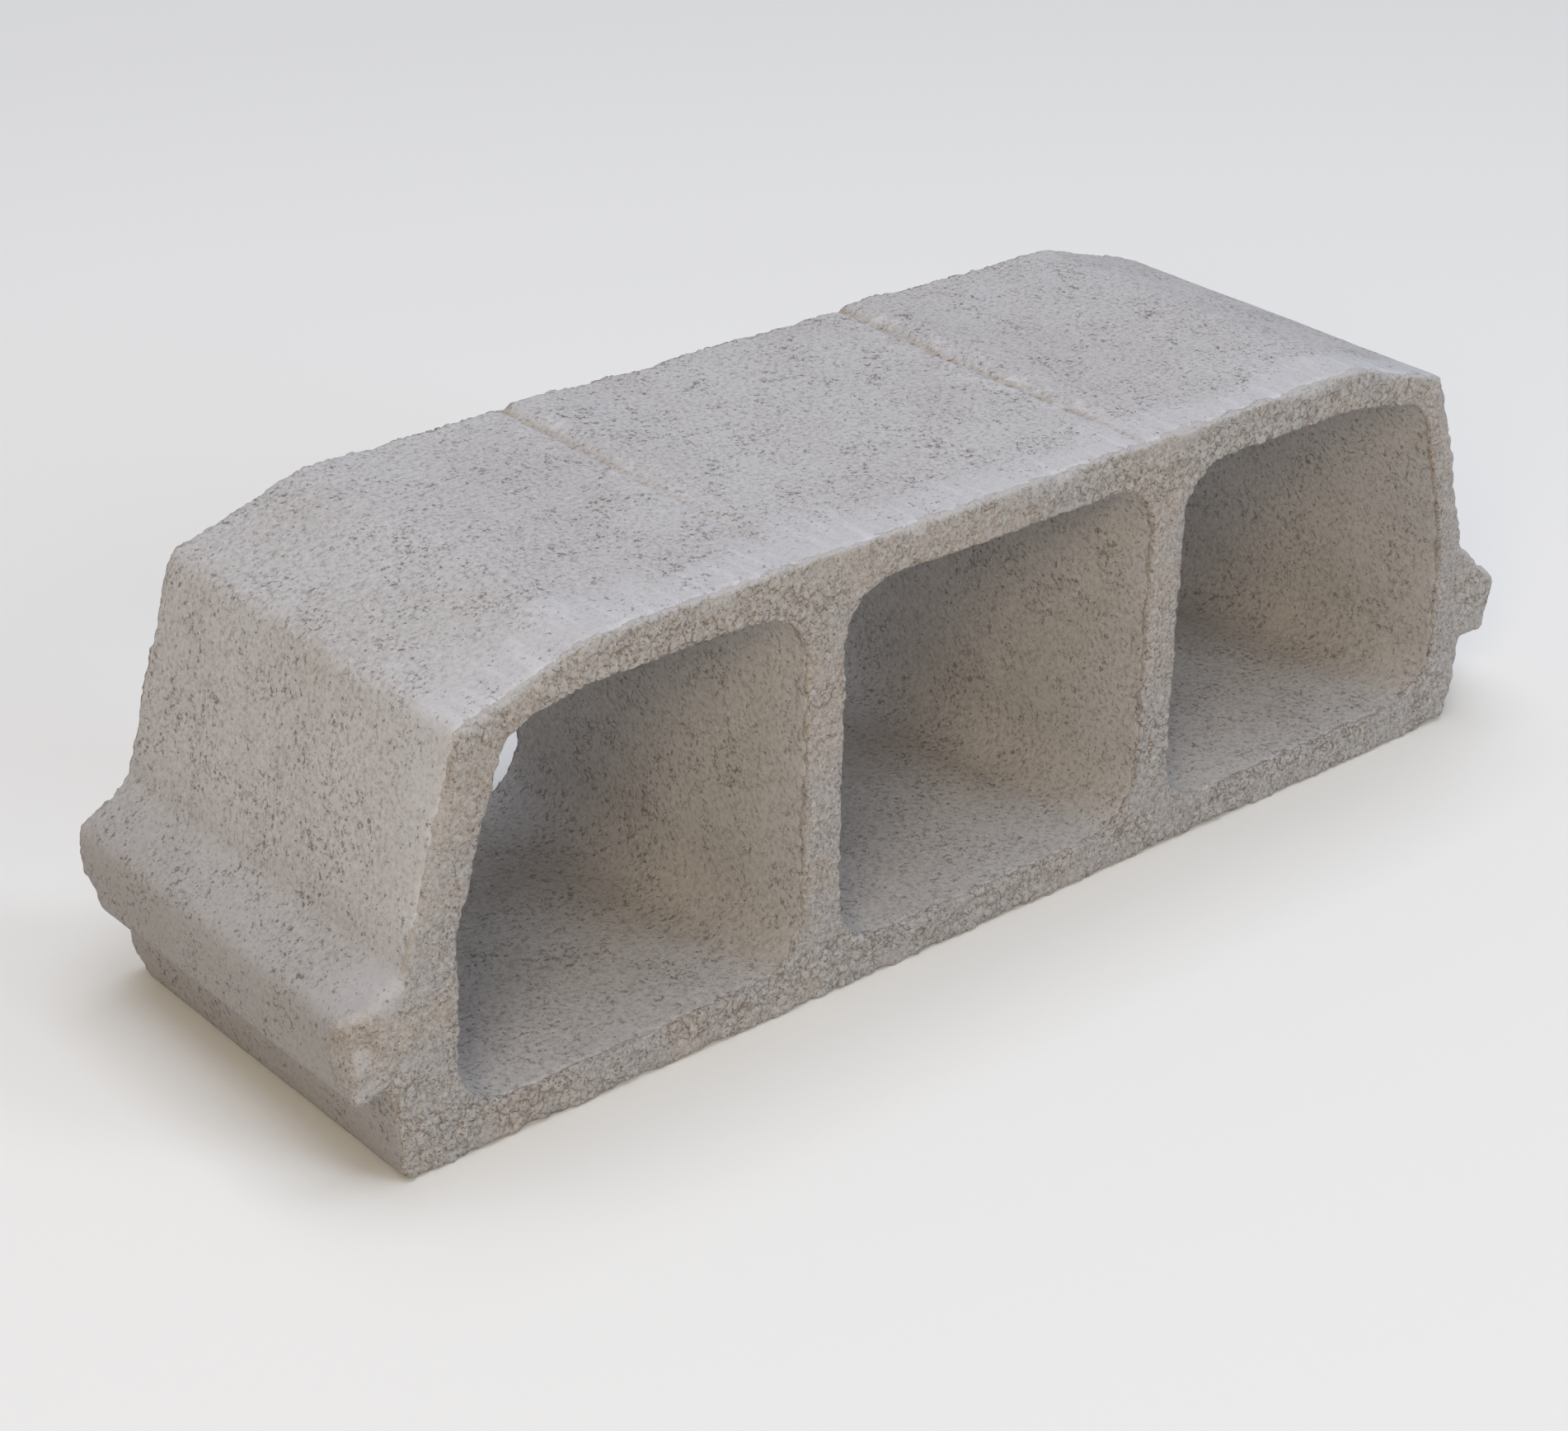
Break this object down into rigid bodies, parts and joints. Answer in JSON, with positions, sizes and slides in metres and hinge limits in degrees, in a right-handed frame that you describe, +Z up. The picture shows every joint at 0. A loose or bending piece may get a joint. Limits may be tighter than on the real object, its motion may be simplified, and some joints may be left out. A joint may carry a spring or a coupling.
{
  "type": "hollow floor infill block",
  "caption": "Hollow vibro-pressed concrete infill block with through cells, sloped haunches and end lips that rest on floor joists.",
  "frame": {"origin": "middle of the soffit, the flat face at the bottom of the block", "axes": "+X from joist to joist, along the block's length; +Y along the joists and the cells; +Z up, from the soffit to the crown"},
  "size_m": [0.639, 0.195, 0.2],
  "materials": {
    "concrete": "matte open-grained vibro-pressed concrete, granular on the two cut faces and finely pored on the moulded ones"
  },
  "bodies": {
    "root": {"infill_block": "concrete"}
  },
  "joints": []
}
